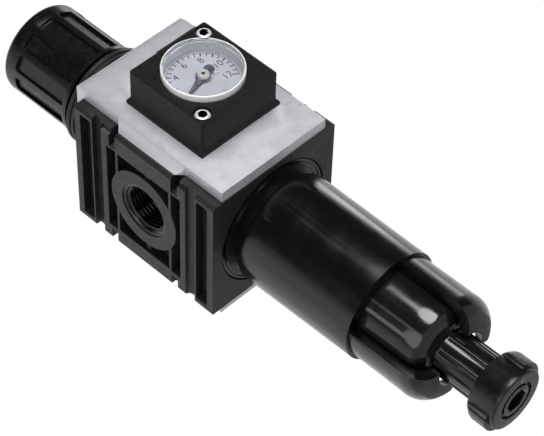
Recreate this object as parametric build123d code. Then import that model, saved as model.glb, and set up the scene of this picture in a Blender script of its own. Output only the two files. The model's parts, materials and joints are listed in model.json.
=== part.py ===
"""Filter-regulator for compressed air: +X runs along the ports, -Y is the gauge side, +Z is the knob."""
from build123d import *
from math import cos, radians, sin, sqrt
import os

# ---------------------------------------------------------------- driving dimensions, mm
BODY_X = 26.0            # half width across the port faces
BODY_Y = 24.1            # half depth, without the cover plates
BODY_Z = 30.4            # half height of the housing

# port faces
FRONT_BAR_Y, REAR_BAR_Y = -16.7, 18.0  # inner edges of the cross bars beside the port
BAR_Z = 12.2                         # half height of the port block
RIB = 1.0                            # thickness of the port block's thin side ribs
CORE_DEPTH = 3.6                     # depth of the coring around the port ring
SLOT_DEPTH = 4.2                     # slot between port block and clamp rail
SLOT_END = 18.4
NOTCH_Y = 20.0                       # rear notch between port block and rail
RAIL_Z_FOOT, RAIL_Z_IN, RAIL_Z_OUT = 15.0, 16.2, 18.4  # clamp rail, wider at its ends
RAIL_FRONT = -22.4
GROOVE_Z = 22.5                      # far side of the clamp groove
GROOVE_DEPTH = 1.9
POCKET_Z_IN, POCKET_Z_OUT = 23.1, 27.9
POCKET_Y = 22.0
POCKET_DEPTH = 3.2
PORT_RING_R = 14.3
PORT_BORE_R = 7.475                  # minor radius of a G3/8 thread
PORT_CHAMFER_R = 8.7
PORT_INSERT_R = 9.6
PORT_DEPTH = 13.0

# cover plates
PLATE_X = 22.0
PLATE_Z_LOW = -30.0
LIP_Z, LIP_Y = 33.3, 20.4
FRONT_THICK, REAR_THICK = 3.9, 2.4
FLARE_X, FLARE_Z = 24.3, 14.5
CROWN = 0.6
PLATE_SKIN = 1.7

# control side: bonnet, knob, spindle, spring
BONNET_FLANGE_TOP = 33.3
COLLAR_R, COLLAR_TOP = 17.7, 44.9
CUP_R, CUP_FLOOR = 16.9, 43.0
NECK_R, NECK_BORE_R = 12.4, 10.3
CAP_BOTTOM, CAP_TOP = 58.5, 61.5
LOCK_TEETH = 24
LOCK_TOOTH_DEG = 6.0
KNOB_R = 16.15
KNOB_BOTTOM, KNOB_TOP = 46.6, 77.0
KNOB_BORE_R = 13.8
PANELS = 12
PANEL_FIRST_DEG = -67.0
PANEL_Z_LOW, PANEL_Z_HIGH = 48.6, 71.0
PANEL_W, PANEL_DEPTH, PANEL_CORNER = 5.9, 1.2, 0.9
SPINDLE_R = 4.0
SPRING_R, SPRING_WIRE_R = 8.4, 1.15
NUT_LOW, NUT_HIGH = 50.0, 55.1

# diaphragm and valve
DIAPHRAGM_R = 18.4
DIAPHRAGM_LOW, DIAPHRAGM_HIGH = 19.4, 20.6
PLATE_GAP = 0.05
SEAT_LOW, SEAT_HIGH = 7.0, 11.6
COLUMN_BORE_R = 7.6
COLUMN_LOW = -12.0
VALVE_STEM_R = 1.9
VALVE_SPRING_R, VALVE_WIRE_R = 4.4, 0.35

# bowl side
MOUTH_R, MOUTH_TOP = 22.1, -28.2
LEDGE_R, LEDGE_TOP = 19.8, -25.0
RACE_R, RACE_TOP = 21.4, -20.5
GUARD_BORE_TOP = -16.6
SEAL_BORE_R = 17.2
GUARD_R_TOP, GUARD_R_STEP = 19.4, 18.9
GUARD_IN_R = 16.4
FLANGE_R, FLANGE_TOP, FLANGE_LOW = 21.6, -28.5, -30.1
GUARD_NECK_R, GUARD_NECK_LOW = 17.5, -34.0
GUARD_TOP, GUARD_STEP = -16.9, -78.9
LUG_R, LUG_DEG, LUG_COUNT = 21.1, 24.0, 4
PRONG_R, PRONG_IN_R = 17.8, 14.5
PRONG_SHOULDER, PRONG_END = -98.5, -107.0
PRONG_END_R = 12.1
WINDOW_MID_DEG, WINDOW_HALF_DEG = -125.5, 46.5
BOWL_R_TOP, BOWL_R_LOW = 15.6, 13.8
BOWL_WALL = 1.9
BOWL_SHOULDER = -98.0
NECK_TOP, NECK_LOW = -102.4, -117.5
DRAIN_NECK_R = 7.9
DRAIN_KNOB_R, DRAIN_SCALLOP_R = 11.9, 10.3
DRAIN_KNOB_TOP, DRAIN_KNOB_RIM, DRAIN_KNOB_END = -117.8, -126.3, -128.2
DRAIN_LOBE_DEG = -34.0
DRAIN_STEM_R, DRAIN_SCREW_R = 2.0, 3.2
NOSE_END = -121.4                    # bowl nose that the drain knob turns on
STEM_SCREW_TOP, STEM_END = -122.5, -126.0
KNOB_FLOOR, SOCKET_TOP = -124.0, -126.3
FILTER_R, FILTER_BORE_R = 11.0, 8.2
FILTER_TOP, FILTER_LOW = -16.0, -60.0

# gauge
GAUGE_Z = 0.4
GAUGE_HALF, GAUGE_FOOT_HALF = 15.8, 16.6
GAUGE_CORNER, GAUGE_FOOT_CORNER = 0.9, 0.4
GAUGE_BACK, GAUGE_FRONT = -28.3, -41.9
DIAL_FRONT, DIAL_THICK = -38.3, 0.6
DIAL_R = 12.4
LENS_R, LENS_WALL, LENS_FRONT = 12.95, 1.6, -43.8
GAUGE_SCREW = 12.4                   # offset of the two corner screws from the gauge centre
POINTER_DEG = 253.0                  # rest direction, clockwise from +Z seen from the front
POINTER_Y = -39.5
SCREW_HEAD_FRONT, SCREW_HEAD_BACK = -41.3, -39.3


# ---------------------------------------------------------------- small helpers
def rod(r, z0, z1, x=0.0, y=0.0):
    """Cylinder along Z."""
    return Pos(x, y, (z0 + z1) / 2) * Cylinder(r, abs(z1 - z0))


def rod_x(r, x0, x1, y=0.0, z=0.0):
    """Cylinder along X."""
    return Pos((x0 + x1) / 2, y, z) * Rot(0, 90, 0) * Cylinder(r, abs(x1 - x0))


def rod_y(r, y0, y1, x=0.0, z=0.0):
    """Cylinder along Y."""
    return Pos(x, (y0 + y1) / 2, z) * Rot(90, 0, 0) * Cylinder(r, abs(y1 - y0))


def block(x0, x1, y0, y1, z0, z1):
    """Box between two corners."""
    size = (abs(x1 - x0), abs(y1 - y0), abs(z1 - z0))
    return Pos((x0 + x1) / 2, (y0 + y1) / 2, (z0 + z1) / 2) * Box(*size)


def tube(r_out, r_in, z0, z1):
    return rod(r_out, z0, z1) - rod(r_in, z0 - 1, z1 + 1)


def turned(points):
    """Solid of revolution about Z from an outline of (radius, height) points."""
    outline = Polyline([(r, 0, z) for r, z in points], close=True)
    return revolve(make_face(outline), axis=Axis.Z)


def o_ring(r, wire_r, z):
    return Pos(0, 0, z) * Torus(r, wire_r)


def polar(r, degrees):
    return r * cos(radians(degrees)), r * sin(radians(degrees))


def coil(r, wire_r, z0, z1, turns):
    """Round wire wound about Z between two heights."""
    height = abs(z1 - z0) - 2 * wire_r
    path = Helix(height / turns, height, r)
    profile = Plane(path @ 0, z_dir=path % 0) * Circle(wire_r)
    return Pos(0, 0, min(z0, z1) + wire_r) * sweep(profile, path=path, is_frenet=True)


def sector(r_out, z0, z1, mid_deg, width_deg):
    """Wedge of a disc, used to cut or keep an angular span of less than 180 degrees."""
    reach = r_out / cos(radians(width_deg / 2))
    corners = [(0, 0), polar(reach, mid_deg - width_deg / 2), polar(reach, mid_deg + width_deg / 2)]
    face = make_face(Polyline([(x, y, min(z0, z1)) for x, y in corners], close=True))
    return extrude(face, amount=abs(z1 - z0), dir=(0, 0, 1)) & rod(r_out, z0, z1)


# ---------------------------------------------------------------- housing
def groove_cut(side, end):
    """Clamp groove along Y: shallow beside the rail, deepest beside the pocket."""
    x = side * BODY_X
    shallow = Vector(x - side * 1.1, 0, end * (RAIL_Z_OUT + 0.4))
    middle = Vector(x - side * 1.75, 0, end * (RAIL_Z_OUT + GROOVE_Z) / 2)
    deep = Vector(x - side * GROOVE_DEPTH, 0, end * GROOVE_Z)
    outline = [
        Line((x + side, 0, end * RAIL_Z_OUT), (x, 0, end * RAIL_Z_OUT)),
        Line((x, 0, end * RAIL_Z_OUT), shallow),
        ThreePointArc(shallow, middle, deep),
        Line(deep, (x + side, 0, end * GROOVE_Z)),
        Line((x + side, 0, end * GROOVE_Z), (x + side, 0, end * RAIL_Z_OUT)),
    ]
    return extrude(make_face(outline), amount=BODY_Y + 1, both=True, dir=(0, 1, 0))


def side_cuts(side):
    """Everything moulded into one port face."""
    face, floor = side * (BODY_X + 1), side * (BODY_X - CORE_DEPTH)
    slot_floor = side * (BODY_X - SLOT_DEPTH)
    ring = rod_x(PORT_RING_R, face, slot_floor)
    web = block(side * (BODY_X - 1.0), floor, FRONT_BAR_Y, REAR_BAR_Y, -1.9, 0.1)
    core = block(face, floor, FRONT_BAR_Y, REAR_BAR_Y, -BAR_Z + RIB, BAR_Z - RIB)
    cuts = [core - ring - web]
    for end in (-1, 1):
        z_in, z_foot, z_rail = end * BAR_Z, end * RAIL_Z_FOOT, end * RAIL_Z_IN
        slot = block(face, slot_floor, -BODY_Y - 1, FRONT_BAR_Y - 1.1, z_in, z_foot)
        slot += block(face, slot_floor, FRONT_BAR_Y - 0.3, SLOT_END, z_in, z_rail)
        slot += block(face, slot_floor, NOTCH_Y, BODY_Y + 1, z_in, z_foot)
        cuts.append(slot - ring)
        rail_end = block(face, side * (BODY_X - 1.3), -BODY_Y - 1, RAIL_FRONT, z_foot, end * RAIL_Z_OUT)
        cuts.append(rail_end)
        cuts.append(groove_cut(side, end))
        pocket = block(face, side * (BODY_X - POCKET_DEPTH), -POCKET_Y, POCKET_Y,
                       end * POCKET_Z_IN, end * POCKET_Z_OUT)
        cuts.append(fillet(pocket.edges().filter_by(Axis.X), 0.8))
    return cuts


def plate_posts(y_face, inward, clearance=0.0):
    """Four posts that fasten a cover plate into the housing."""
    spots = [(x, z) for x in (-18.6, 18.6) for z in (-10.6, 14.6)]
    return [rod_y(1.6 + clearance, y_face, y_face + inward * 3.2, x, z) for x, z in spots]


def gauge_screw_spots():
    return [(GAUGE_SCREW, GAUGE_Z + GAUGE_SCREW), (-GAUGE_SCREW, GAUGE_Z - GAUGE_SCREW)]


def housing():
    shell = block(-BODY_X, BODY_X, -BODY_Y, BODY_Y, -BODY_Z, BODY_Z)
    front_edges = shell.edges().filter_by(Axis.Z).group_by(Axis.Y)[0]
    shell = chamfer(front_edges, 1.0)
    shell = chamfer(shell.edges().filter_by(Axis.Z).group_by(Axis.Y)[-1], 0.4)
    for side in (-1, 1):
        for cut in side_cuts(side):
            shell -= cut
    # bowl end: mouth, bayonet ledges with entry gaps, lug race, guard bore and seal bore
    shell -= rod(MOUTH_R, -BODY_Z - 1, MOUTH_TOP)
    shell -= rod(LEDGE_R, MOUTH_TOP - 1, GUARD_BORE_TOP)
    shell -= rod(RACE_R, LEDGE_TOP, RACE_TOP)
    for i in range(LUG_COUNT):
        shell -= sector(RACE_R, MOUTH_TOP - 0.5, LEDGE_TOP + 0.5, 45 + i * 90, LUG_DEG + 9)
    shell -= rod(SEAL_BORE_R, GUARD_BORE_TOP - 1, COLUMN_LOW)
    # bonnet socket, diaphragm chamber, valve column and seat hole
    shell -= rod(18.6, DIAPHRAGM_LOW, BODY_Z + 1)
    shell -= rod(15.4, 13.2, DIAPHRAGM_LOW + 1)
    shell -= rod(COLUMN_BORE_R, COLUMN_LOW - 1, SEAT_LOW)
    shell -= rod(6.0, SEAT_LOW - 1, 13.5)
    # inlet: port, then down into the bowl around the column; outlet: port, then up to the diaphragm
    for side in (-1, 1):
        shell -= rod_x(PORT_INSERT_R, side * (BODY_X + 1), side * (BODY_X - PORT_DEPTH))
    shell -= block(-15.6, -9.4, -5.5, 5.5, COLUMN_LOW - 1, 0)
    shell -= block(9.4, 14.4, -5.0, 5.0, 0, 14)
    # gauge stem bore with its sensing hole to the outlet, gauge screw holes
    shell -= rod_y(5.15, -BODY_Y - 1, -20.3, 0, GAUGE_Z)
    sense = Plane(origin=(0, -20.6, GAUGE_Z), z_dir=(14.5, 15.6, 2.6)) * Circle(0.9)
    shell -= extrude(sense, amount=17.5)
    for x, z in gauge_screw_spots():
        shell -= rod_y(1.25, -BODY_Y - 1, -19.0, x, z)
    for post in plate_posts(-BODY_Y, 1) + plate_posts(BODY_Y, -1):
        shell -= post
    for x in (-17.2, 17.2):
        for y in (-15.6, 15.6):
            shell -= rod(1.55, BODY_Z - 8.2, BODY_Z + 1, x, y)
    return shell


def port_insert(side):
    """Threaded metal sleeve moulded into a port; the thread is drawn at its minor radius."""
    mouth, inner = BODY_X - 0.4, BODY_X - PORT_DEPTH
    chamfer_x = mouth - (PORT_CHAMFER_R - PORT_BORE_R)
    outline = [(PORT_INSERT_R, mouth), (PORT_CHAMFER_R, mouth), (PORT_BORE_R, chamfer_x),
               (PORT_BORE_R, inner), (PORT_INSERT_R, inner)]
    return Rot(0, side * 90, 0) * turned(outline)


# ---------------------------------------------------------------- cover plates
def cover_plate(thick):
    """Front plate: crowned face, end facets, a lip over the knob end and flared sides."""
    face = -BODY_Y - thick
    profile = [(-BODY_Y, PLATE_Z_LOW), (face, PLATE_Z_LOW), (face - CROWN, -21.3), (face - CROWN, 26.3),
               (face, 31.0), (face + 0.7, LIP_Z), (-LIP_Y, LIP_Z), (-LIP_Y, BODY_Z), (-BODY_Y, BODY_Z)]
    outline = make_face(Polyline([(0, y, z) for y, z in profile], close=True))
    plate = extrude(outline, amount=PLATE_X, both=True, dir=(1, 0, 0))
    crown_r = (PLATE_X**2 + CROWN**2) / (2 * CROWN)
    lip_room = block(-40, 40, -BODY_Y, -LIP_Y + 1, BODY_Z - 5, LIP_Z + 5)
    plate &= rod(crown_r, -40, 40, 0, face - CROWN + crown_r) + lip_room
    for side in (-1, 1):
        top, foot = (side * PLATE_X, face + 0.25, 0), (side * FLARE_X, -BODY_Y, 0)
        waist = (side * (PLATE_X + 0.75), -BODY_Y - 0.35 * thick, 0)
        inner_foot, inner_top = (side * 20, -BODY_Y, 0), (side * 20, face + 0.25, 0)
        edges = [Line(inner_foot, inner_top), Line(inner_top, top), ThreePointArc(top, waist, foot),
                 Line(foot, inner_foot)]
        flare = extrude(make_face(edges), amount=FLARE_Z, both=True, dir=(0, 0, 1))
        taper = [(20, -FLARE_Z), (PLATE_X, -FLARE_Z), (FLARE_X, -BAR_Z), (FLARE_X, BAR_Z), (PLATE_X, FLARE_Z),
                 (20, FLARE_Z)]
        outline = make_face(Polyline([(side * x, -BODY_Y + 1, z) for x, z in taper], close=True))
        plate += flare & extrude(outline, amount=thick + 3, dir=(0, -1, 0))
    lip_groove = block(-PLATE_X + 0.8, PLATE_X - 0.8, face - 1, face + 0.75, LIP_Z - 1.15, LIP_Z - 0.85)
    return plate - lip_groove


def hollowed(plate, thick, bosses):
    """Take the core out of a cover plate from behind, leaving its skin and the bosses."""
    core = block(-20.0, 20.0, -BODY_Y, -BODY_Y - thick + PLATE_SKIN, -27.6, 28.0)
    for boss in bosses:
        core -= boss
    plate -= core
    return plate


def front_cover():
    thick = FRONT_THICK
    inner = -BODY_Y - thick + PLATE_SKIN - 0.2
    bosses = [rod_y(7.2, -BODY_Y + 1, inner, 0, GAUGE_Z)]
    bosses += [rod_y(3.6, -BODY_Y + 1, inner, x, z) for x, z in gauge_screw_spots()]
    bosses += [rod_y(2.6, -BODY_Y + 1, inner, x, z) for x in (-18.6, 18.6) for z in (-10.6, 14.6)]
    plate = hollowed(cover_plate(thick), thick, bosses)
    plate -= rod_y(5.3, -BODY_Y + 1, -BODY_Y - 8, 0, GAUGE_Z)
    plate -= square_prism(GAUGE_FOOT_HALF + 0.1, GAUGE_BACK - 2, GAUGE_BACK, GAUGE_FOOT_CORNER + 0.1)
    for x, z in gauge_screw_spots():
        plate -= rod_y(1.7, -BODY_Y + 1, -BODY_Y - 8, x, z)
    # small square release mark: two thin grooves meeting at a corner
    surface = -BODY_Y - thick
    plate -= block(17.3, 20.8, surface - 1, surface + 0.15, -17.8, -17.4)
    plate -= block(20.4, 20.8, surface - 1, surface + 0.15, -21.0, -17.4)
    for post in plate_posts(-BODY_Y, 1):
        plate += post
    return plate


def rear_cover():
    thick = REAR_THICK
    inner = -BODY_Y - thick + PLATE_SKIN - 0.2
    bosses = [rod_y(2.6, -BODY_Y + 1, inner, x, z) for x in (-18.6, 18.6) for z in (-10.6, 14.6)]
    plate = hollowed(cover_plate(thick), thick, bosses)
    plate = mirror(plate, about=Plane.XZ)
    for post in plate_posts(BODY_Y, -1):
        plate += post
    return plate


# ---------------------------------------------------------------- knob, bonnet, adjustment
def lock_teeth(r_root, r_tip, z0, z1, first_deg):
    """Ring of short teeth; r_root lies inside the wall that carries them."""
    teeth = []
    for i in range(LOCK_TEETH):
        spoke = sector(max(r_root, r_tip), z0, z1, first_deg + i * 360 / LOCK_TEETH, LOCK_TOOTH_DEG)
        teeth.append(spoke - rod(min(r_root, r_tip), z0 - 1, z1 + 1))
    return teeth


def bonnet():
    """Spring cage: spigot in the housing, square flange, collar with a cup, neck inside the knob."""
    body = rod(18.5, DIAPHRAGM_HIGH, BODY_Z + 0.1)
    flange = block(-21.2, 21.2, -20.0, 20.0, BODY_Z, BONNET_FLANGE_TOP)
    body += fillet(flange.edges().filter_by(Axis.Z), 4.0)
    r, low = COLLAR_R, BONNET_FLANGE_TOP - 0.1
    body += turned([(0, low), (r - 0.9, low), (r - 0.9, 41.0), (r, 41.4), (r, 42.4), (r - 0.5, 42.6), (r - 0.5, 43.1),
                    (r, 43.3), (r, COLLAR_TOP - 0.3), (r - 0.3, COLLAR_TOP), (0, COLLAR_TOP)])
    body -= tube(CUP_R, NECK_R, CUP_FLOOR, COLLAR_TOP + 1)
    body += rod(NECK_R, CUP_FLOOR - 1, CAP_TOP)
    for tooth in lock_teeth(NECK_R - 0.2, 13.45, 46.4, 49.2, 0):
        body += tooth
    body -= rod(NECK_BORE_R, DIAPHRAGM_HIGH - 1, CAP_BOTTOM)
    body -= rod(13.0, DIAPHRAGM_HIGH - 1, 26.0)
    body -= turned([(0, 25.9), (13.0, 25.9), (NECK_BORE_R, 29.0), (0, 29.0)])
    body -= rod(SPINDLE_R + 0.05, CAP_BOTTOM - 1, CAP_TOP + 1)
    body -= block(-1.6, 1.6, -11.2, 11.2, 40.5, 56.5) & rod(11.2, 40, 57)
    for x in (-17.2, 17.2):
        for y in (-15.6, 15.6):
            body -= rod(2.0, BODY_Z - 1, BONNET_FLANGE_TOP + 1, x, y)
            body -= rod(3.7, BONNET_FLANGE_TOP, COLLAR_TOP + 1, x, y)
    return body


def bonnet_screws():
    """Four pan-head screws that hold the bonnet flange down."""
    screws = []
    for x in (-17.2, 17.2):
        for y in (-15.6, 15.6):
            screw = rod(1.5, BODY_Z - 8, BONNET_FLANGE_TOP + 0.1, x, y)
            head = rod(3.1, BONNET_FLANGE_TOP, BONNET_FLANGE_TOP + 2.0, x, y)
            head = fillet(head.edges().group_by(Axis.Z)[-1], 0.9)
            head -= Pos(x, y, BONNET_FLANGE_TOP + 2.1) * Box(3.4, 0.8, 2.2)
            head -= Pos(x, y, BONNET_FLANGE_TOP + 2.1) * Box(0.8, 3.4, 2.2)
            screws.append(screw + head)
    return Compound(children=screws)


def knob_panels():
    """Twelve rounded recesses round the knob, between narrow ribs."""
    cutters = []
    height = PANEL_Z_HIGH - PANEL_Z_LOW
    for i in range(PANELS):
        panel = Pos(KNOB_R - PANEL_DEPTH + 2, 0, (PANEL_Z_LOW + PANEL_Z_HIGH) / 2) * Box(4, PANEL_W, height)
        panel = fillet(panel.edges().filter_by(Axis.X).group_by(Axis.Z)[-1], PANEL_CORNER)
        cutters.append(Rot(0, 0, PANEL_FIRST_DEG + i * 360 / PANELS) * panel)
    return cutters


def knob():
    outer = turned([(0, KNOB_BOTTOM), (KNOB_R + 0.3, KNOB_BOTTOM), (KNOB_R + 0.3, KNOB_BOTTOM + 1.2),
                    (KNOB_R, KNOB_BOTTOM + 1.5), (KNOB_R, KNOB_TOP), (0, KNOB_TOP)])
    outer = fillet(outer.edges().group_by(Axis.Z)[-1], 2.0)
    for panel in knob_panels():
        outer -= panel
    outer -= rod(KNOB_BORE_R, KNOB_BOTTOM - 1, 66.0)
    outer -= tube(KNOB_BORE_R - 0.8, 6.5, 65.9, 73.5)
    outer -= rod(6.6, 65.9, 66.2)
    hexagon = Pos(0, 0, 66) * RegularPolygon(4.1 / cos(radians(30)), 6)
    outer -= extrude(hexagon, amount=7.5)
    for tooth in lock_teeth(KNOB_BORE_R + 0.2, 12.8, 49.8, 52.4, 7.5):
        outer += tooth
    return outer


def spindle():
    shaft = rod(SPINDLE_R - 0.1, 38.0, CAP_BOTTOM - 0.3)
    shaft += rod(6.5, CAP_BOTTOM - 3.1, CAP_BOTTOM - 0.3)
    shaft += rod(SPINDLE_R, CAP_BOTTOM - 0.4, 63.0)
    shaft -= tube(SPINDLE_R + 1, SPINDLE_R - 0.5, CAP_TOP + 0.3, CAP_TOP + 1.1)
    hexagon = Pos(0, 0, 62.9) * RegularPolygon(4.0 / cos(radians(30)), 6)
    shaft += extrude(hexagon, amount=7.1)
    return chamfer(shaft.edges().group_by(Axis.Z)[0], 0.8)


def retaining_ring():
    ring = tube(6.0, SPINDLE_R - 0.5, CAP_TOP + 0.3, CAP_TOP + 1.1)
    return ring - block(0, 8, -2.2, 2.2, CAP_TOP, CAP_TOP + 2)


def spring_nut():
    nut = rod(NECK_BORE_R - 0.3, NUT_LOW, NUT_HIGH)
    nut += block(-1.3, 1.3, -10.9, 10.9, NUT_LOW, NUT_HIGH) & rod(10.9, NUT_LOW, NUT_HIGH)
    nut += rod(6.4, NUT_LOW - 2.0, NUT_LOW)
    return nut - rod(SPINDLE_R - 0.03, NUT_LOW - 3, NUT_HIGH + 1)


# ---------------------------------------------------------------- diaphragm and valve
def diaphragm():
    disc = rod(DIAPHRAGM_R, DIAPHRAGM_LOW, DIAPHRAGM_HIGH)
    return disc - rod(2.6, DIAPHRAGM_LOW - 1, DIAPHRAGM_HIGH + 1)


def diaphragm_plate():
    """Upper plate, which carries the control spring."""
    low = DIAPHRAGM_HIGH + PLATE_GAP
    plate = rod(11.4, low, low + 1.7)
    plate += tube(7.0, 5.0, low + 1.6, low + 3.4)
    return plate - rod(2.45, low - 1, low + 4)


def relief_seat():
    """Lower plate with the vent bore that the valve stem closes."""
    high = DIAPHRAGM_LOW - PLATE_GAP
    seat = rod(9.0, high - 1.2, high) + rod(2.8, 16.4, high - 1.0) + rod(2.4, high - 0.1, 23.4)
    return seat - rod(1.1, 16, 24)


def valve_seat():
    ring = tube(5.95, 3.5, SEAT_LOW + 0.2, SEAT_HIGH)
    lip = turned([(3.5, SEAT_LOW - 0.1), (4.0, SEAT_LOW - 0.1), (4.6, SEAT_LOW + 0.3), (3.5, SEAT_LOW + 0.3)])
    return ring + lip


def valve_poppet():
    """Valve body with its upper stem and the lower guide stem."""
    poppet = rod(5.6, 3.6, 6.0) + rod(VALVE_STEM_R, 5.9, 16.3) + rod(2.4, -4.5, 3.7)
    tip = poppet.edges().group_by(Axis.Z)[-1]
    return fillet(tip, 0.8)


def valve_disc():
    return tube(5.4, VALVE_STEM_R, 6.0, 6.8)


def valve_guide():
    """Plug in the column: slides the valve, carries its spring and the filter stud."""
    guide = rod(7.45, -12.1, 1.0) + rod(9.4, -15.0, COLUMN_LOW)
    guide -= rod(5.7, -7.2, 2.0)
    guide += rod(3.4, -7.3, -1.0)
    guide -= rod(2.45, -6.0, 0)
    guide -= tube(8.5, 6.65, -10.5, -9.0)
    guide -= rod(2.0, -16.0, -10.6)
    for i in range(6):
        x, y = polar(4.9, i * 60)
        guide -= rod(0.95, -16, -6.5, x, y)
    return guide


def guide_seal():
    return o_ring(7.1, 0.45, -9.75)


# ---------------------------------------------------------------- filter
def deflector():
    """Swirl ring: a lip under the guide flange and a skirt of slanted vanes."""
    ring = tube(13.2, 6.4, FILTER_TOP, FILTER_TOP + 1.0)
    ring += tube(13.2, 11.3, FILTER_TOP - 1.8, FILTER_TOP + 0.1)
    for i in range(12):
        vane = Pos(11.5, 0, -14.1) * Rot(35, 0, 0) * Box(3.0, 1.0, 4.2)
        ring += Rot(0, 0, i * 30) * (vane & tube(13.2, 9.8, FILTER_TOP + 0.5, -12.6))
    return ring


def filter_element():
    return tube(FILTER_R, FILTER_BORE_R, FILTER_LOW, FILTER_TOP)


def filter_retainer():
    """Baffle disc on a stud that screws into the valve guide."""
    disc = turned([(0, FILTER_LOW), (11.2, FILTER_LOW), (11.8, FILTER_LOW - 3.4), (11.0, FILTER_LOW - 3.4),
                   (9.6, FILTER_LOW - 1.8), (0, FILTER_LOW - 1.8)])
    disc += rod(FILTER_BORE_R - 0.1, FILTER_LOW - 0.1, FILTER_LOW + 2.0)
    disc += rod(1.95, FILTER_LOW, -10.7)
    return disc


# ---------------------------------------------------------------- bowl, guard and drain
def bowl():
    """Pressure bowl: collar with a seal groove, drafted wall, shoulder, ribbed drain neck."""
    wall, low, neck = BOWL_WALL, BOWL_SHOULDER, DRAIN_NECK_R - 0.5
    outer = turned([(0, -13.0), (16.9, -13.0), (16.9, GUARD_TOP), (BOWL_R_TOP, GUARD_TOP), (BOWL_R_LOW, low),
                    (BOWL_R_LOW - 0.9, low - 2.2), (BOWL_R_LOW - 2.9, low - 3.7), (neck, NECK_TOP),
                    (neck, NECK_LOW), (5.5, NECK_LOW), (5.5, NOSE_END), (0, NOSE_END)])
    outer -= turned([(0, -12.0), (BOWL_R_TOP - wall, -12.0), (BOWL_R_TOP - wall, GUARD_TOP),
                     (BOWL_R_LOW - wall, low + 2.0), (BOWL_R_LOW - wall - 1.6, low + 0.2), (5.2, low - 0.6),
                     (0, low - 0.6)])
    outer -= tube(18, 15.9, -15.9, -14.1)
    outer -= rod(2.6, -125, low)
    ribs = 10
    for i in range(ribs):
        x, y = polar(DRAIN_NECK_R - 0.9, i * 360 / ribs + 9)
        outer += rod(0.95, NECK_TOP - 0.6, NECK_LOW, x, y)
    return outer


def bowl_seal():
    return o_ring(16.55, 0.58, -15.0)


def guard():
    """Bowl guard: bayonet tube, then two prongs that curve in under the bowl."""
    top, flange, neck_low = GUARD_R_TOP, FLANGE_LOW, GUARD_NECK_LOW
    body = turned([(GUARD_IN_R, GUARD_TOP), (top, GUARD_TOP), (top, FLANGE_TOP), (FLANGE_R, FLANGE_TOP),
                   (FLANGE_R, flange), (FLANGE_R - 0.7, flange), (FLANGE_R - 0.8, flange + 0.4),
                   (FLANGE_R - 1.1, flange + 0.4), (FLANGE_R - 1.2, flange), (top, flange),
                   (top - 0.2, flange + 0.25), (top - 0.9, flange + 0.25), (GUARD_NECK_R, flange + 0.4),
                   (GUARD_NECK_R, neck_low), (top - 0.9, neck_low), (top - 0.2, neck_low - 0.6),
                   (top - 0.1, neck_low - 1.4), (GUARD_R_STEP, GUARD_STEP), (PRONG_IN_R, GUARD_STEP),
                   (PRONG_IN_R, GUARD_STEP + 2.4), (GUARD_IN_R, GUARD_STEP + 4.4)])
    for i in range(LUG_COUNT):
        lug = sector(LUG_R, -24.6, -20.9, i * 90, LUG_DEG)
        body += lug - rod(GUARD_R_TOP - 1, -26, -20)
    drop, inward, bore = PRONG_SHOULDER - PRONG_END, PRONG_R - PRONG_END_R, 9.3
    half = sqrt(0.5)
    outer_mid = (PRONG_END_R + inward * half, 0, PRONG_SHOULDER - drop * half)
    inner_mid = (bore + (PRONG_IN_R - bore) * half, 0, PRONG_SHOULDER + 0.5 - (drop - 2.6) * half)
    outer_top, outer_low, outer_end = (
        (PRONG_R, 0, GUARD_STEP + 0.1), (PRONG_R, 0, PRONG_SHOULDER), (PRONG_END_R, 0, PRONG_END))
    inner_top, inner_low, inner_end = (
        (PRONG_IN_R, 0, GUARD_STEP + 0.1), (PRONG_IN_R, 0, PRONG_SHOULDER + 0.5), (bore, 0, PRONG_END + 2.6))
    bore_end = (bore, 0, PRONG_END)
    outline = [Line(inner_top, outer_top), Line(outer_top, outer_low), ThreePointArc(outer_low, outer_mid, outer_end),
               Line(outer_end, bore_end), Line(bore_end, inner_end), ThreePointArc(inner_end, inner_mid, inner_low),
               Line(inner_low, inner_top)]
    cage = revolve(make_face(outline), axis=Axis.Z)
    for turn in (0, 180):
        cage -= sector(30, GUARD_STEP - 0.01, PRONG_END - 2, WINDOW_MID_DEG + turn, 2 * WINDOW_HALF_DEG)
    return body + cage


def drain_stem():
    """Hollow stem: head over the seal, cross hole under it, drive screw in the drain knob."""
    stem = rod(DRAIN_STEM_R, STEM_SCREW_TOP - 0.1, -96.0) + rod(4.2, -96.6, -94.6)
    stem += rod(DRAIN_SCREW_R, STEM_SCREW_TOP, STEM_END)
    stem -= rod(0.9, STEM_END - 1, -99.0)
    return stem - rod_x(0.7, -3, 3, 0, -99.7)


def drain_seal():
    return o_ring(3.5, 0.9, -97.55)


def drain_outline():
    """Round lobes with two shallow concentric scallops between them."""
    scallop_deg = 112
    outline = Circle(DRAIN_KNOB_R)
    for side in (-90, 90):
        reach = DRAIN_KNOB_R * 3
        corners = [polar(reach, DRAIN_LOBE_DEG + side - scallop_deg / 2), (0, 0),
                   polar(reach, DRAIN_LOBE_DEG + side + scallop_deg / 2)]
        outline -= make_face(Polyline(corners, close=True)) - Circle(DRAIN_SCALLOP_R)
    return fillet(outline.vertices(), 0.75)


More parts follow.
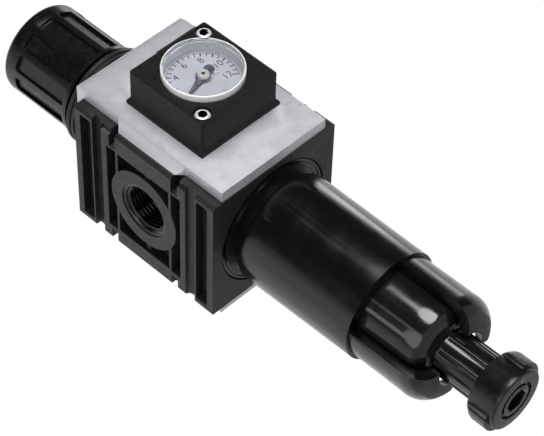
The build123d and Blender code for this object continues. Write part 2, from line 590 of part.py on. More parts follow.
def drain_knob():
    """Two-lobed drain screw: shoulders, shallow scallops, round end rim, hexagon socket."""
    r, top = DRAIN_KNOB_R, DRAIN_KNOB_TOP
    body = turned([(0, top), (8.2, top), (r - 1.3, top - 0.9), (r - 0.3, top - 2.2), (r, top - 3.2),
                   (r, DRAIN_KNOB_RIM), (0, DRAIN_KNOB_RIM)])
    body &= Pos(0, 0, DRAIN_KNOB_END - 1) * extrude(drain_outline(), amount=20)
    rim = rod(DRAIN_SCALLOP_R + 0.1, DRAIN_KNOB_RIM + 0.5, DRAIN_KNOB_END)
    body += fillet(rim.edges().group_by(Axis.Z)[0], 0.6)
    body -= tube(6.6, 5.4, DRAIN_KNOB_END - 1, DRAIN_KNOB_END + 0.8)
    body -= rod(5.55, DRAIN_KNOB_TOP + 1, KNOB_FLOOR)
    body -= rod(DRAIN_SCREW_R + 0.05, KNOB_FLOOR + 1, SOCKET_TOP - 1)
    socket = Pos(0, 0, DRAIN_KNOB_END - 1) * RegularPolygon(4.1, 6)
    return body - extrude(socket, amount=SOCKET_TOP - DRAIN_KNOB_END + 1)


# ---------------------------------------------------------------- gauge
def square_prism(half, y0, y1, radius):
    prism = block(-half, half, y0, y1, GAUGE_Z - half, GAUGE_Z + half)
    return fillet(prism.edges().filter_by(Axis.Y), radius)


def gauge_housing():
    body = square_prism(GAUGE_HALF, GAUGE_FRONT, GAUGE_BACK, GAUGE_CORNER)
    body = chamfer(body.faces().sort_by(Axis.Y)[0].outer_wire().edges(), 0.6)
    lower = Plane(origin=(0, GAUGE_BACK - 0.9, GAUGE_Z), z_dir=(0, -1, 0))
    upper = Plane(origin=(0, GAUGE_BACK - 2.1, GAUGE_Z), z_dir=(0, -1, 0))
    foot = loft([lower * RectangleRounded(2 * GAUGE_FOOT_HALF, 2 * GAUGE_FOOT_HALF, GAUGE_FOOT_CORNER),
                 upper * RectangleRounded(2 * GAUGE_HALF, 2 * GAUGE_HALF, GAUGE_CORNER)])
    body += foot + square_prism(GAUGE_FOOT_HALF, GAUGE_BACK - 0.9, GAUGE_BACK, GAUGE_FOOT_CORNER)
    top = GAUGE_Z + GAUGE_HALF
    body += block(-4.0, 12.0, GAUGE_FRONT + 0.6, GAUGE_FRONT + 9, top - 0.5, top + 0.35)
    body -= rod_y(LENS_R + 0.05, GAUGE_FRONT - 1, DIAL_FRONT - 0.1, 0, GAUGE_Z)
    body -= rod_y(LENS_R + 0.45, GAUGE_FRONT - 1, GAUGE_FRONT + 0.6, 0, GAUGE_Z)
    body -= rod_y(DIAL_R + 0.05, GAUGE_FRONT, DIAL_FRONT + DIAL_THICK, 0, GAUGE_Z)
    body -= rod_y(11.3, DIAL_FRONT - 1, -30.4, 0, GAUGE_Z)
    body -= rod_y(5.05, -32, GAUGE_BACK + 1, 0, GAUGE_Z)
    for x, z in gauge_screw_spots():
        body -= rod_y(1.7, GAUGE_FRONT - 1, GAUGE_BACK + 1, x, z)
        body -= rod_y(2.9, GAUGE_FRONT - 1, SCREW_HEAD_BACK, x, z)
    return body


def gauge_screws():
    """Two pan-head screws with a six-lobe recess, in opposite corners."""
    screws = []
    for x, z in gauge_screw_spots():
        head = rod_y(2.55, SCREW_HEAD_FRONT, SCREW_HEAD_BACK, x, z)
        head = fillet(head.edges().group_by(Axis.Y)[0], 1.0)
        for i in range(6):
            dx, dz = polar(1.05, i * 60)
            head -= rod_y(0.45, SCREW_HEAD_FRONT - 1, SCREW_HEAD_BACK - 0.5, x + dx, z + dz)
        head -= rod_y(1.0, SCREW_HEAD_FRONT - 1, SCREW_HEAD_BACK - 0.5, x, z)
        screws.append(head + rod_y(1.2, SCREW_HEAD_BACK - 0.1, -19.4, x, z))
    return Compound(children=screws)


def gauge_lens():
    wall_end = DIAL_FRONT - 0.1
    cup = rod_y(LENS_R, LENS_FRONT, wall_end, 0, GAUGE_Z)
    cup = fillet(cup.edges().group_by(Axis.Y)[0], 0.5)
    return cup - rod_y(LENS_R - LENS_WALL, LENS_FRONT + 1.1, wall_end + 1, 0, GAUGE_Z)


def dial_screw_spot():
    x, z = polar(4.8, -3.7)
    return x, z + GAUGE_Z


def gauge_dial():
    plate = rod_y(DIAL_R, DIAL_FRONT, DIAL_FRONT + DIAL_THICK, 0, GAUGE_Z)
    plate -= rod_y(1.3, DIAL_FRONT - 1, DIAL_FRONT + 2, 0, GAUGE_Z)
    x, z = dial_screw_spot()
    return plate - rod_y(0.7, DIAL_FRONT - 1, DIAL_FRONT + 2, x, z)


def dial_screw():
    x, z = dial_screw_spot()
    head = fillet(rod_y(1.35, DIAL_FRONT - 0.7, DIAL_FRONT, x, z).edges().group_by(Axis.Y)[0], 0.4)
    head -= Pos(x, DIAL_FRONT - 0.7, z) * Rot(0, 20, 0) * Box(1.9, 0.7, 0.4)
    head -= Pos(x, DIAL_FRONT - 0.7, z) * Rot(0, 110, 0) * Box(1.9, 0.7, 0.4)
    return head + rod_y(0.65, DIAL_FRONT - 0.1, DIAL_FRONT + 2.2, x, z)


def pointer():
    """Blade from the hub to the tip with a round counterweight behind."""
    blade = [(-0.9, -3.6), (-1.05, 2.0), (-0.3, 8.6), (0.0, 9.3), (0.3, 8.6), (1.05, 2.0), (0.9, -3.6)]
    face = make_face(Polyline([(x, POINTER_Y, z) for x, z in blade], close=True))
    shape = extrude(face, amount=0.35, dir=(0, 1, 0))
    shape += rod_y(2.4, POINTER_Y, POINTER_Y + 0.35) + rod_y(1.7, POINTER_Y, POINTER_Y + 0.35, 0, -3.6)
    shape -= rod_y(0.62, POINTER_Y - 1, POINTER_Y + 1)
    return Pos(0, 0, GAUGE_Z) * Rot(0, POINTER_DEG, 0) * shape


def pointer_hub():
    hub = rod_y(1.95, POINTER_Y - 1.1, POINTER_Y, 0, GAUGE_Z)
    hub = fillet(hub.edges().group_by(Axis.Y)[0], 0.35)
    return hub - rod_y(0.62, POINTER_Y - 3, POINTER_Y + 1, 0, GAUGE_Z)


def pointer_arbor():
    return rod_y(0.6, POINTER_Y - 0.9, -33.7, 0, GAUGE_Z)


def gauge_movement():
    """Two small brass plates on pillars; the arbor turns in both."""
    front = block(-5.5, 5.5, -37.1, -36.3, GAUGE_Z - 4, GAUGE_Z + 4)
    back = block(-5.5, 5.5, -34.8, -34.0, GAUGE_Z - 4, GAUGE_Z + 4)
    frame = front + back
    for x in (-4.4, 4.4):
        for z in (-2.9, 2.9):
            frame += rod_y(0.8, -36.4, -34.7, x, GAUGE_Z + z)
    x, z = dial_screw_spot()
    frame += rod_y(1.3, DIAL_FRONT + DIAL_THICK, -37.0, x, z)
    frame -= rod_y(0.65, -39, -34.9, x, z)
    return frame - rod_y(0.65, -39, -33, 0, GAUGE_Z)


def bourdon_tube():
    """Flattened tube bent through three quarters of a turn round the movement."""
    section = Plane(origin=(9.2, -35.5, 0), z_dir=(0, 0, 1)) * RectangleRounded(1.5, 3.6, 0.7)
    bent = revolve(section, axis=Axis((0, 0, 0), (0, 1, 0)), revolution_arc=270)
    return Pos(0, 0, GAUGE_Z) * Rot(0, 90, 0) * bent


def gauge_socket():
    """Brass stem through the gauge base, with the arm that feeds the tube."""
    stem = rod_y(5.0, -33.4, -20.6, 0, GAUGE_Z)
    stem -= tube_y(6, 4.2, -23.4, -21.6)
    arm = block(-1.8, 1.8, -33.4, -31.9, GAUGE_Z - 10.0, GAUGE_Z)
    return stem + arm - rod_y(1.0, -32.6, -20, 0, GAUGE_Z)


def tube_y(r_out, r_in, y0, y1):
    """Tube along Y about the gauge centre."""
    return rod_y(r_out, y0, y1, 0, GAUGE_Z) - rod_y(r_in, y0 - 1, y1 + 1, 0, GAUGE_Z)


def gauge_seal():
    return Pos(0, -22.5, GAUGE_Z) * Rot(90, 0, 0) * Torus(4.65, 0.44)


# ---------------------------------------------------------------- write the files
NODES = {
    "housing": housing,
    "inlet_port_insert": lambda: port_insert(-1),
    "outlet_port_insert": lambda: port_insert(1),
    "front_cover": front_cover,
    "rear_cover": rear_cover,
    "bonnet": bonnet,
    "bonnet_screws": bonnet_screws,
    "adjusting_knob": knob,
    "adjusting_spindle": spindle,
    "spindle_retaining_ring": retaining_ring,
    "spring_nut": spring_nut,
    "control_spring": lambda: coil(SPRING_R, SPRING_WIRE_R, DIAPHRAGM_HIGH + PLATE_GAP + 1.7, NUT_LOW, 7),
    "diaphragm": diaphragm,
    "diaphragm_plate": diaphragm_plate,
    "relief_seat": relief_seat,
    "valve_seat": valve_seat,
    "valve_poppet": valve_poppet,
    "valve_disc": valve_disc,
    "valve_spring": lambda: coil(VALVE_SPRING_R, VALVE_WIRE_R, -7.2, 3.6, 8),
    "valve_guide": valve_guide,
    "guide_seal": guide_seal,
    "deflector": deflector,
    "filter_element": filter_element,
    "filter_retainer": filter_retainer,
    "bowl": bowl,
    "bowl_seal": bowl_seal,
    "bowl_guard": guard,
    "drain_stem": drain_stem,
    "drain_seal": drain_seal,
    "drain_knob": drain_knob,
    "gauge_housing": gauge_housing,
    "gauge_screws": gauge_screws,
    "gauge_lens": gauge_lens,
    "gauge_dial": gauge_dial,
    "gauge_dial_screw": dial_screw,
    "gauge_pointer": pointer,
    "gauge_pointer_hub": pointer_hub,
    "gauge_arbor": pointer_arbor,
    "gauge_movement": gauge_movement,
    "gauge_bourdon_tube": bourdon_tube,
    "gauge_socket": gauge_socket,
    "gauge_seal": gauge_seal,
}

os.makedirs("parts", exist_ok=True)
for name, make in NODES.items():
    export_step(make(), f"parts/{name}.step")
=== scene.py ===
import json
import math

import bmesh
import bpy
from mathutils import Matrix, Vector


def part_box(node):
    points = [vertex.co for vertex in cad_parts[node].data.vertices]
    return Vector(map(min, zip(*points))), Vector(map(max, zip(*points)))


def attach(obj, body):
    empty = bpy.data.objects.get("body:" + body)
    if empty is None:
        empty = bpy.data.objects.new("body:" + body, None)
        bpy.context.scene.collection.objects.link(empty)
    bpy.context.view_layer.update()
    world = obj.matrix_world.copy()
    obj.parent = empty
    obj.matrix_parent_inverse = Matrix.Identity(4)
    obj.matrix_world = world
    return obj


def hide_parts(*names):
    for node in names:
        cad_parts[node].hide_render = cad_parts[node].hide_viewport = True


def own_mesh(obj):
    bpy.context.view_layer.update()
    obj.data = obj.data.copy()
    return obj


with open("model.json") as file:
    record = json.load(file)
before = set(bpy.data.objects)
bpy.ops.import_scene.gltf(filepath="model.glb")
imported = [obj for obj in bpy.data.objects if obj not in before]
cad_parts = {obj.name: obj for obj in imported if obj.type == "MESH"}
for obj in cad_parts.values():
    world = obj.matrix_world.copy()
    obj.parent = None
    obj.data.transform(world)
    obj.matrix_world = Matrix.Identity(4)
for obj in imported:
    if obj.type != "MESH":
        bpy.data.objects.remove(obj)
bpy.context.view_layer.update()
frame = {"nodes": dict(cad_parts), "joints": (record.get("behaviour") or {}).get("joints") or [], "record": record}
nodes = frame["nodes"]
MM = 0.001


# ---------------------------------------------------------------- places read from the frame
def joint(name):
    return next(j for j in frame["joints"] if j["name"] == name)


GAUGE = Vector(joint("pointer_turn")["pos_m"])
DIAL_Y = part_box("gauge_dial")[0].y
LENS_LOW, LENS_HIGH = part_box("gauge_lens")
LENS_R = (LENS_HIGH.x - LENS_LOW.x) / 2
GUARD_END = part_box("bowl_guard")[0].z
SCREW_LOW, SCREW_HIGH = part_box("gauge_screws")
SCREW_HEAD_R = 2.55 * MM
SCREW_SPOTS = [Vector((SCREW_LOW.x + SCREW_HEAD_R, SCREW_LOW.z + SCREW_HEAD_R)),
               Vector((SCREW_HIGH.x - SCREW_HEAD_R, SCREW_HIGH.z - SCREW_HEAD_R))]

# the dial: clock angles in degrees, radii and sizes in mm
SIX_BAR_ANGLE, DEGREES_PER_BAR = 357.0, 21.0
FIRST_TICK, LAST_TICK, TICK_STEP = 3.5, 12.0, 0.5
TICK_IN, LAST_TICK_IN, TICK_OUT = 9.6, 9.1, 11.05
TICK_WIDE, TICK_THIN = 0.42, 0.32
ARC_IN, ARC_OUT = 11.0, 11.15
DIAL_DOTS = [(285.4, 8.95, 0.28), (172.6, 7.9, 0.24)]             # angle, radius, size
DIAL_NUMBERS = [(4, 8.2), (6, 7.9), (8, 7.7), (10, 7.6), (12, 7.5)]    # number, radius
NUMBER_SIZE = 3.5
PRINT_THICK = 0.03 * MM

# the lens, in mm from its front face and from its outer radius
LENS_CORNER, LENS_PANE = 0.5, 0.95
LENS_RIM, LENS_LEDGE, LENS_FOOT = 0.55, 0.95, 1.15
LENS_MARKS = [("lens_mark_top", -11.0, 14.0), ("lens_mark_side", 79.0, 100.0)]    # clock angles

# the port thread, G 3/8
THREAD_PITCH, THREAD_MINOR, THREAD_MAJOR = 1.337, 7.475, 8.33
THREAD_MOUTH = 8.7                        # radius of the chamfer at the mouth


# ---------------------------------------------------------------- materials
def socket(bsdf, name, value):
    bsdf.inputs[name].default_value = value


class Shader:
    """A node material: grain as bump, with cloudy colour and roughness."""

    def __init__(self, name, color, rough, metal=0.0):
        self.material = bpy.data.materials.new(name)
        self.material.use_nodes = True
        self.tree = self.material.node_tree
        self.bsdf = self.tree.nodes["Principled BSDF"]
        self.color = color
        socket(self.bsdf, "Base Color", (*color, 1))
        socket(self.bsdf, "Roughness", rough)
        socket(self.bsdf, "Metallic", metal)
        self.place = self.node("ShaderNodeTexCoord").outputs["Object"]

    def node(self, kind, **values):
        made = self.tree.nodes.new(kind)
        for key, value in values.items():
            setattr(made, key, value)
        return made

    def link(self, a, b):
        self.tree.links.new(a, b)

    def noise(self, scale, detail=3.0, rough=0.5):
        noise = self.node("ShaderNodeTexNoise")
        noise.inputs["Scale"].default_value = scale
        noise.inputs["Detail"].default_value = detail
        noise.inputs["Roughness"].default_value = rough
        self.link(self.place, noise.inputs["Vector"])
        return noise.outputs["Fac"]

    def ramp(self, source, low, high, a, b):
        ranged = self.node("ShaderNodeMapRange")
        for key, value in (("From Min", low), ("From Max", high), ("To Min", a), ("To Max", b)):
            ranged.inputs[key].default_value = value
        self.link(source, ranged.inputs["Value"])
        return ranged.outputs["Result"]

    def cloudy(self, scale, spread, speckle_scale=0.0, speckle=0.0):
        """Colour that drifts by spread, with a finer speckle over it."""
        factor = self.ramp(self.noise(scale), 0.3, 0.7, 1 - spread, 1 + spread)
        if speckle:
            fine = self.ramp(self.noise(speckle_scale, 2.0, 0.6), 0.35, 0.65, 1 - speckle, 1 + speckle)
            product = self.node("ShaderNodeMath", operation="MULTIPLY")
            self.link(factor, product.inputs[0])
            self.link(fine, product.inputs[1])
            factor = product.outputs[0]
        scaled = self.node("ShaderNodeVectorMath", operation="SCALE")
        scaled.inputs[0].default_value = self.color
        self.link(factor, scaled.inputs["Scale"])
        self.link(scaled.outputs["Vector"], self.bsdf.inputs["Base Color"])
        return self

    def rough(self, scale, low, high):
        """Roughness that drifts between low and high."""
        self.link(self.ramp(self.noise(scale), 0.3, 0.7, low, high), self.bsdf.inputs["Roughness"])
        return self

    def bump(self, scale, depth, strength=1.0, waves_scale=0.0, waves_depth=0.0):
        """Grain of that depth in metres, over wider and softer waves."""
        normal = None
        for size, height in ((waves_scale, waves_depth), (scale, depth)):
            if not size:
                continue
            bump = self.node("ShaderNodeBump")
            bump.inputs["Distance"].default_value = height
            bump.inputs["Strength"].default_value = strength
            self.link(self.noise(size), bump.inputs["Height"])
            if normal:
                self.link(normal, bump.inputs["Normal"])
            normal = bump.outputs["Normal"]
        self.link(normal, self.bsdf.inputs["Normal"])
        return self


def grained_plastic(name, color, rough, grain, scale=2600, specular=0.5):
    shader = Shader(name, color, rough)
    shader.cloudy(90, 0.10, scale * 0.6, 0.35).rough(500, rough - 0.06, rough + 0.06)
    shader.bump(scale, grain, 1.0, waves_scale=120, waves_depth=0.00002)
    socket(shader.bsdf, "Specular IOR Level", specular)
    return shader.material


def gloss_plastic(name, color, rough, specular=0.5):
    shader = Shader(name, color, rough)
    shader.cloudy(60, 0.15).rough(140, rough - 0.04, rough + 0.05)
    shader.bump(1900, 0.000003, 0.8, waves_scale=70, waves_depth=0.00004)
    socket(shader.bsdf, "Specular IOR Level", specular)
    return shader.material


def turned_metal(name, color, rough, metal=1.0):
    shader = Shader(name, color, rough, metal)
    shader.cloudy(200, 0.08).rough(900, rough - 0.07, rough + 0.1).bump(900, 0.000004)
    return shader.material


def printed(name, color, rough, cloud_scale, cloud, grain_scale=2500, grain=0.000002):
    """Smooth paint or ink with a faint drift in its colour."""
    return Shader(name, color, rough).cloudy(cloud_scale, cloud).bump(grain_scale, grain).material


def silver_paint(name):
    """Aluminium-filled paint: a metallic base with a broad sheen and a fine flake."""
    shader = Shader(name, (0.60, 0.61, 0.645), 0.46, metal=0.5)
    shader.cloudy(40, 0.03, 3200, 0.06).rough(300, 0.40, 0.52)
    shader.bump(3000, 0.000006, 0.8, waves_scale=60, waves_depth=0.00003)
    return shader.material


def frosted_plastic(name):
    """The lens's moulded wall: near white and satin, with a little transmission; its white is a painted highlight
    for the bright band that a clear wall shows by refraction.
    """
    shader = Shader(name, (0.93, 0.93, 0.95), 0.32)
    shader.cloudy(500, 0.04).rough(900, 0.25, 0.42).bump(1500, 0.000004)
    socket(shader.bsdf, "Transmission Weight", 0.15)
    return shader.material


def clear_plastic(name):
    shader = Shader(name, (0.97, 0.98, 1.0), 0.03)
    socket(shader.bsdf, "IOR", 1.49)
    socket(shader.bsdf, "Transmission Weight", 1.0)
    shader.rough(260, 0.01, 0.05)
    shader.bump(90, 0.00001, 0.4)
    return shader.material


MATERIALS = {
    "body_plastic": grained_plastic("body_plastic", (0.011, 0.011, 0.0112), 0.50, 0.000024, specular=0.40),
    "knob_plastic": grained_plastic("knob_plastic", (0.003, 0.003, 0.0032), 0.30, 0.000004, 2200, 0.45),
    "drain_plastic": grained_plastic("drain_plastic", (0.003, 0.003, 0.0032), 0.33, 0.000007, 2200, 0.45),
    "guard_plastic": gloss_plastic("guard_plastic", (0.0025, 0.0025, 0.0027), 0.19),
    "cut_plastic": grained_plastic("cut_plastic", (0.020, 0.020, 0.021), 0.58, 0.000020),
    "bowl_plastic": gloss_plastic("bowl_plastic", (0.006, 0.006, 0.007), 0.14),
    "cover_paint": silver_paint("cover_paint"),
    "gauge_plastic": grained_plastic("gauge_plastic", (0.013, 0.013, 0.0132), 0.42, 0.000008, 3200, 0.13),
    "gauge_glass": clear_plastic("gauge_glass"),
    # painted highlight: a near-white satin plastic standing in for the light refracted in the lens's clear wall
    "frosted_plastic": frosted_plastic("frosted_plastic"),
    "dial_face": printed("dial_face", (0.74, 0.74, 0.80), 0.5, 150, 0.03),
    "dial_ink": printed("dial_ink", (0.09, 0.09, 0.12), 0.6, 800, 0.2, 3000),
    "pointer_paint": printed("pointer_paint", (0.16, 0.16, 0.19), 0.4, 400, 0.1, 2500, 0.000003),
    "hub_plastic": printed("hub_plastic", (0.80, 0.79, 0.74), 0.35, 400, 0.05, 1800, 0.000003),
    "screw_steel": turned_metal("screw_steel", (0.90, 0.90, 0.92), 0.34, metal=0.35),
    # near-black steel: painted shade in the screws' recesses and a painted dark reflection on the arbor's end
    "shade_painted_steel": turned_metal("shade_painted_steel", (0.05, 0.05, 0.055), 0.45),
    "shaft_steel": turned_metal("shaft_steel", (0.60, 0.60, 0.60), 0.3),
    "spring_steel": turned_metal("spring_steel", (0.45, 0.45, 0.46), 0.3),
    # near-black metal: painted shade for the deep port bores
    "insert_metal": turned_metal("insert_metal", (0.045, 0.045, 0.048), 0.30),
    "inner_metal": turned_metal("inner_metal", (0.70, 0.70, 0.71), 0.35),
    "brass": turned_metal("brass", (0.72, 0.53, 0.25), 0.3),
    "seal_rubber": grained_plastic("seal_rubber", (0.012, 0.012, 0.012), 0.6, 0.00001),
    "inner_plastic": grained_plastic("inner_plastic", (0.05, 0.05, 0.055), 0.5, 0.00001),
    "filter_media": grained_plastic("filter_media", (0.80, 0.79, 0.74), 0.8, 0.00006, 1500),
}


def dress(obj, slot):
    obj.data.materials.clear()
    obj.data.materials.append(MATERIALS[slot])


# ---------------------------------------------------------------- refined copies of the CAD nodes
def smooth(obj, degrees=32):
    for face in obj.data.polygons:
        face.use_smooth = True
    obj.data.set_sharp_from_angle(angle=math.radians(degrees))


def refined(node, slot, body, bevel, angle=28):
    """The node's own shape with its flat faces merged and its edges rounded."""
    mesh = bmesh.new()
    mesh.from_mesh(nodes[node].data)
    bmesh.ops.remove_doubles(mesh, verts=mesh.verts, dist=0.002 * MM)
    bmesh.ops.dissolve_limit(mesh, angle_limit=math.radians(0.6), verts=mesh.verts, edges=mesh.edges)
    data = bpy.data.meshes.new(node + "_shell")
    mesh.to_mesh(data)
    mesh.free()
    piece = bpy.data.objects.new(node + "_shell", data)
    bpy.context.scene.collection.objects.link(piece)
    if bevel:
        rounding = piece.modifiers.new("rounding", "BEVEL")
        rounding.width = bevel * MM
        rounding.segments = 2
        rounding.limit_method = "ANGLE"
        rounding.angle_limit = math.radians(angle)
    smooth(piece)
    dress(piece, slot)
    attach(piece, body)
    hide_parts(node)
    return piece


def second_finish(piece, material, chosen):
    """Gives the faces that chosen(centre, normal) picks another material: a real second finish, or painted shade.
    """
    piece.data.materials.append(MATERIALS[material])
    last = len(piece.data.materials) - 1
    for face in piece.data.polygons:
        if chosen(face.center, face.normal):
            face.material_index = last


def on_prong_end(spot, normal):
    return normal.z < -0.8 and spot.z < GUARD_END + 6 * MM


# painted shade: these faces deep in the screw heads' recesses get near-black steel in place of the shadow there
def in_screw_recess(spot, normal):
    depth = spot.y - SCREW_LOW.y
    off_axis = min((Vector((spot.x, spot.z)) - screw).length for screw in SCREW_SPOTS)
    return 0.3 * MM < depth < 1.8 * MM and off_axis < 1.6 * MM


# each node's material slot, its body and the rounding of its edges in mm
REFINED = {
    "housing": ("body_plastic", "body", 0.22),
    "front_cover": ("cover_paint", "body", 0.2),
    "rear_cover": ("cover_paint", "body", 0.2),
    "bonnet": ("body_plastic", "body", 0.15),
    "adjusting_knob": ("knob_plastic", "knob", 0.16),
    "bowl_guard": ("guard_plastic", "bowl_unit", 0.25),
    "bowl": ("bowl_plastic", "bowl_unit", 0.2),
    "drain_knob": ("drain_plastic", "drain_knob_body", 0.25),
    "gauge_housing": ("gauge_plastic", "body", 0.14),
    "gauge_screws": ("screw_steel", "body", 0.08),
}
shells = {}
for name, (slot_name, body_name, width) in REFINED.items():
    shells[name] = refined(name, slot_name, body_name, width)
second_finish(shells["bowl_guard"], "cut_plastic", on_prong_end)
# the screws' recess faces get painted shade
second_finish(shells["gauge_screws"], "shade_painted_steel", in_screw_recess)


# ---------------------------------------------------------------- pieces made here
def finished(mesh, name, material, body, angle=32):
    """The mesh as a named piece that rides on a body."""
    bmesh.ops.recalc_face_normals(mesh, faces=mesh.faces)
    data = bpy.data.meshes.new(name)
    mesh.to_mesh(data)
    mesh.free()
    piece = bpy.data.objects.new(name, data)
    bpy.context.scene.collection.objects.link(piece)
    smooth(piece, angle)
    dress(piece, material)
    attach(piece, body)
    return piece


def grid(mesh, rows, closed=True):
    """Quads between rows of points. Each row is a closed section, and the rows close too if closed."""
    made = [[mesh.verts.new(point) for point in row] for row in rows]
    count, width = len(made), len(made[0])
    for i in range(count if closed else count - 1):
        for j in range(width):
            a, b = made[i], made[(i + 1) % count]
            mesh.faces.new((a[j], a[(j + 1) % width], b[(j + 1) % width], b[j]))


def round_gauge(angle, r, y):
    """The point at a clock angle in degrees, a radius in mm and a depth, seen from the front."""
    turn = math.radians(angle)
    return Vector((GAUGE.x + r * MM * math.sin(turn), y, GAUGE.z + r * MM * math.cos(turn)))


def turned_ring(name, profile, material, start=0.0, end=360.0, steps=144):
    """A ring about the gauge's axis. profile lists (radius in mm, depth) round the section."""
    mesh = bmesh.new()
    full = end - start >= 360.0
    count = steps if full else steps + 1
    angles = [start + (end - start) * i / steps for i in range(count)]
    grid(mesh, [[round_gauge(a, r, y) for r, y in profile] for a in angles], closed=full)
    if not full:
        for cap in (mesh.verts[:len(profile)], mesh.verts[-len(profile):]):
            mesh.faces.new(cap)
    return finished(mesh, name, material, "body")


def plate(mesh, outline, y0, y1):
    """A flat plate on the dial from a list of (clock angle, radius)."""
    lower = [mesh.verts.new(round_gauge(a, r, y0)) for a, r in outline]
    upper = [mesh.verts.new(round_gauge(a, r, y1)) for a, r in outline]
    mesh.faces.new(lower)
    mesh.faces.new(upper[::-1])
    for i in range(len(outline)):
        j = (i + 1) % len(outline)
        mesh.faces.new((lower[i], upper[i], upper[j], lower[j]))


def bar_angle(bar):
    return SIX_BAR_ANGLE + (bar - 6) * DEGREES_PER_BAR


def dial_scale():
    """Ticks every half bar, the line they hang from and two small dots."""
    mesh = bmesh.new()
    lift = DIAL_Y - PRINT_THICK
    bar = FIRST_TICK
    while bar <= LAST_TICK:
        inner = LAST_TICK_IN if bar == LAST_TICK else TICK_IN
        width = TICK_WIDE if bar == int(bar) else TICK_THIN
        angle = bar_angle(bar)
        near, far = (math.degrees(width / 2 / r) for r in (inner, TICK_OUT))
        tick = [(angle - near, inner), (angle + near, inner),
                (angle + far, TICK_OUT), (angle - far, TICK_OUT)]
        plate(mesh, tick, lift, DIAL_Y)
        bar += TICK_STEP
    span = [bar_angle(FIRST_TICK + i * (LAST_TICK - FIRST_TICK) / 90) for i in range(91)]
    plate(mesh, [(a, ARC_OUT) for a in span] + [(a, ARC_IN) for a in reversed(span)], lift, DIAL_Y)
    for angle, r, size in DIAL_DOTS:
        middle = r * Vector((math.sin(math.radians(angle)), math.cos(math.radians(angle))))
        turns = [k * math.tau / 20 for k in range(20)]
        ring = [middle + size * Vector((math.cos(turn), math.sin(turn))) for turn in turns]
        plate(mesh, [(math.degrees(math.atan2(p.x, p.y)), p.length) for p in ring], lift, DIAL_Y)
    finished(mesh, "dial_scale", "dial_ink", "body")


def dial_numbers():
    """Every second number stands upright beside its tick."""
    upright = Matrix(((1, 0, 0), (0, 0, 1), (0, -1, 0))).transposed().to_4x4()
    for bar, r in DIAL_NUMBERS:
        data = bpy.data.curves.new(f"dial_number_{bar}", "FONT")
        data.body = str(bar)
        data.align_x = data.align_y = "CENTER"
        data.size = NUMBER_SIZE * MM
        data.extrude = 0.012 * MM
        data.resolution_u = 6
        data.materials.append(MATERIALS["dial_ink"])
        piece = bpy.data.objects.new(f"dial_number_{bar}", data)
        bpy.context.scene.collection.objects.link(piece)
        spot = round_gauge(bar_angle(bar), r, DIAL_Y - 0.02 * MM)
        piece.matrix_world = Matrix.Translation(spot) @ upright
        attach(piece, "body")


def lens():
    """A clear pane in a near-white wall whose colour is a painted highlight, with the wall's ledge and its two
    moulded marks.
    """
    front, radius = LENS_LOW.y, LENS_R / MM
    rim, ledge, foot = radius - LENS_RIM, radius - LENS_LEDGE, radius - LENS_FOOT
    back = front + LENS_PANE * MM
    pane = [(0.02, front), (rim - 0.06, front), (rim, front + 0.06 * MM), (rim, back), (0.02, back)]
    window = turned_ring("lens_window", pane, "gauge_glass")
    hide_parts("gauge_lens")

    seat = LENS_HIGH.y - 0.12 * MM
    top = back + 0.05 * MM
    turns = [k * math.pi / 2 / 7 for k in range(8)]
    corner = [(radius - LENS_CORNER * (1 - math.sin(turn)), front + LENS_CORNER * MM * (1 - math.cos(turn)))
              for turn in turns]
    inside = [(ledge, top + 1.6 * MM), (ledge, top + 0.9 * MM), (rim + 0.03, top + 0.9 * MM),
              (rim + 0.03, front + 0.02 * MM)]
    wall = corner + [(radius, seat), (foot, seat)] + inside
    # painted highlight: the wall is near white in place of the bright band a clear wall shows
    turned_ring("lens_wall", wall, "frosted_plastic")

    outer, inner = ledge + 0.05, ledge - 0.4
    high, low = top + 0.75 * MM, top + 1.35 * MM
    for name, start, end in LENS_MARKS:
        turned_ring(name, [(outer, high), (outer, low), (inner, low), (inner, high)],
                    "frosted_plastic", start, end, 16)


def threaded_sleeve(node, side):
    """The port's sleeve with its chamfered mouth and a helical thread."""
    node_low, node_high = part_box(node)
    mouth = (node_high.x if side > 0 else -node_low.x) / MM
    inner = (node_low.x if side > 0 else -node_high.x) / MM
    outer = (node_high.z - node_low.z) / 2 / MM
    axis = (node_high + node_low) / 2
    steps, spacing = 96, THREAD_PITCH / 10
    depths = [mouth - i * spacing for i in range(int((mouth - inner) / spacing))] + [inner]

    def bore(turn, depth):
        phase = (depth / THREAD_PITCH + side * turn / math.tau) % 1.0
        flank = min(1.0, max(0.0, 1.5 - abs(phase - 0.5) * 4))
        cone = THREAD_MOUTH - (mouth - depth)
        return max(cone, THREAD_MINOR + (THREAD_MAJOR - THREAD_MINOR) * flank)

    mesh = bmesh.new()
    rows = []
    for i in range(steps):
        turn = i * math.tau / steps
        section = [(outer, mouth)] + [(bore(turn, depth), depth) for depth in depths] + [(outer, inner)]
        y, z = math.cos(turn) * MM, math.sin(turn) * MM
        rows.append([(side * d * MM, axis.y + r * y, axis.z + r * z) for r, d in section])
    grid(mesh, rows)
    # painted shade: the sleeve's metal is near black for the shade inside the bore
    piece = finished(mesh, node + "_thread", "insert_metal", "body", 50)
    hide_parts(node)


def springs():
    """The two springs, each a refined copy with a mesh of its own."""
    for node, loaded_by in (("control_spring", "nut_travel"), ("valve_spring", "valve_travel")):
        spring = refined(node, "spring_steel", "body", bevel=0)
        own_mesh(spring)


dial_scale()
dial_numbers()
lens()
springs()
threaded_sleeve("inlet_port_insert", -1)
threaded_sleeve("outlet_port_insert", 1)

slots = {row["node"]: row["material_slot"] for row in frame["record"]["subparts"]}
for name, obj in nodes.items():
    if not obj.hide_render:
        dress(obj, slots[name])
        smooth(obj)
# painted dark reflection: the arbor's end is coloured near black for the dark it reflects
dress(nodes["gauge_arbor"], "shade_painted_steel")
dress(nodes["gauge_dial_screw"], "hub_plastic")


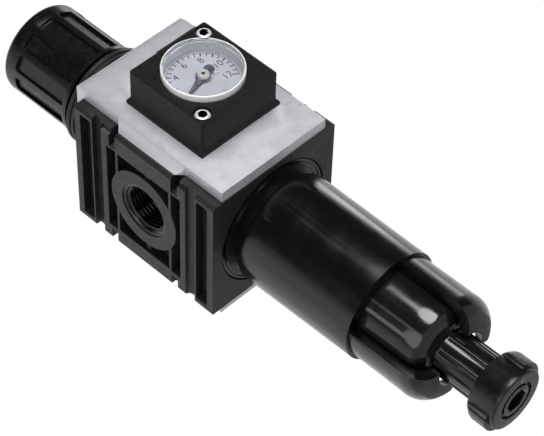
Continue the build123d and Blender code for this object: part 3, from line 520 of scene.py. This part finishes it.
# ---------------------------------------------------------------- stage, light and camera
def stage():
    """A wide sheet of pale paper well below the part."""
    reach, depth = 6.0, -1.4
    signs = ((-1, -1), (1, -1), (1, 1), (-1, 1))
    mesh = bpy.data.meshes.new("floor")
    mesh.from_pydata([(x * reach, y * reach, depth) for x, y in signs], [], [(0, 1, 2, 3)])
    floor = bpy.data.objects.new("floor", mesh)
    bpy.context.scene.collection.objects.link(floor)
    shader = Shader("floor_paper", (0.86, 0.86, 0.86), 0.9)
    shader.cloudy(2, 0.01)
    mesh.materials.append(shader.material)


def faded(tree, value, start, end, low, high):
    """low where value is under start, high where it is over end, and smooth between."""
    fade = tree.nodes.new("ShaderNodeMapRange")
    fade.interpolation_type = "SMOOTHSTEP"
    for key, number in (("From Min", start), ("From Max", end), ("To Min", low), ("To Max", high)):
        fade.inputs[key].default_value = number
    tree.links.new(value, fade.inputs["Value"])
    return fade.outputs["Result"]


def studio():
    """White paper behind the part, a dark room on the camera's side and a dim floor below."""
    world = bpy.data.worlds.new("studio")
    bpy.context.scene.world = world
    world.use_nodes = True
    tree = world.node_tree
    place = tree.nodes.new("ShaderNodeTexCoord")
    split = tree.nodes.new("ShaderNodeSeparateXYZ")
    tree.links.new(place.outputs["Generated"], split.inputs[0])
    product = tree.nodes.new("ShaderNodeMath")
    product.operation = "MULTIPLY"
    tree.links.new(faded(tree, split.outputs["Y"], -0.30, 0.16, 0.04, 1.0), product.inputs[0])
    tree.links.new(faded(tree, split.outputs["Z"], -0.6, 0.1, 0.25, 1.0), product.inputs[1])
    path = tree.nodes.new("ShaderNodeLightPath")
    mix = tree.nodes.new("ShaderNodeMix")
    mix.inputs["B"].default_value = 1.0
    tree.links.new(path.outputs["Is Camera Ray"], mix.inputs["Factor"])
    tree.links.new(product.outputs[0], mix.inputs["A"])
    tree.links.new(mix.outputs["Result"], tree.nodes["Background"].inputs["Strength"])
    tree.nodes["Background"].inputs["Color"].default_value = (1, 1, 1, 1)


def softbox(name, direction, distance, size, power):
    """A round lamp in that direction from the origin, facing it. Power is in watts."""
    light = bpy.data.lights.new(name, "AREA")
    light.shape = "DISK"
    light.size = size
    light.energy = power
    obj = bpy.data.objects.new(name, light)
    bpy.context.scene.collection.objects.link(obj)
    towards = Vector(direction).normalized()
    obj.location = towards * distance
    obj.rotation_mode = "QUATERNION"
    obj.rotation_quaternion = towards.to_track_quat("Z", "Y")


def camera():
    """A long lens from below the front left, as in the photo."""
    data = bpy.data.cameras.new("camera")
    data.lens = 149.6
    data.sensor_width = 36.0
    data.sensor_fit = "HORIZONTAL"
    data.clip_start, data.clip_end = 0.05, 50
    obj = bpy.data.objects.new("camera", data)
    right = Vector((0.70106, -0.02355, -0.71271))
    up = Vector((0.51761, -0.67066, 0.53131))
    back = -Vector((0.49050, 0.74139, 0.45799))
    turn = Matrix((right, up, back)).transposed().to_4x4()
    obj.matrix_world = Matrix.Translation((-0.34021, -0.51446, -0.34750)) @ turn
    bpy.context.scene.collection.objects.link(obj)
    bpy.context.scene.camera = obj


stage()
studio()
softbox("key", (0.05, -0.99, 0.0), 0.9, 0.5, 7.0)
softbox("left", (-0.85, -0.45, -0.10), 0.9, 0.6, 2.2)
softbox("right", (0.88, -0.08, 0.46), 0.9, 0.3, 0.8)
camera()
bpy.context.scene.view_settings.view_transform = "Standard"
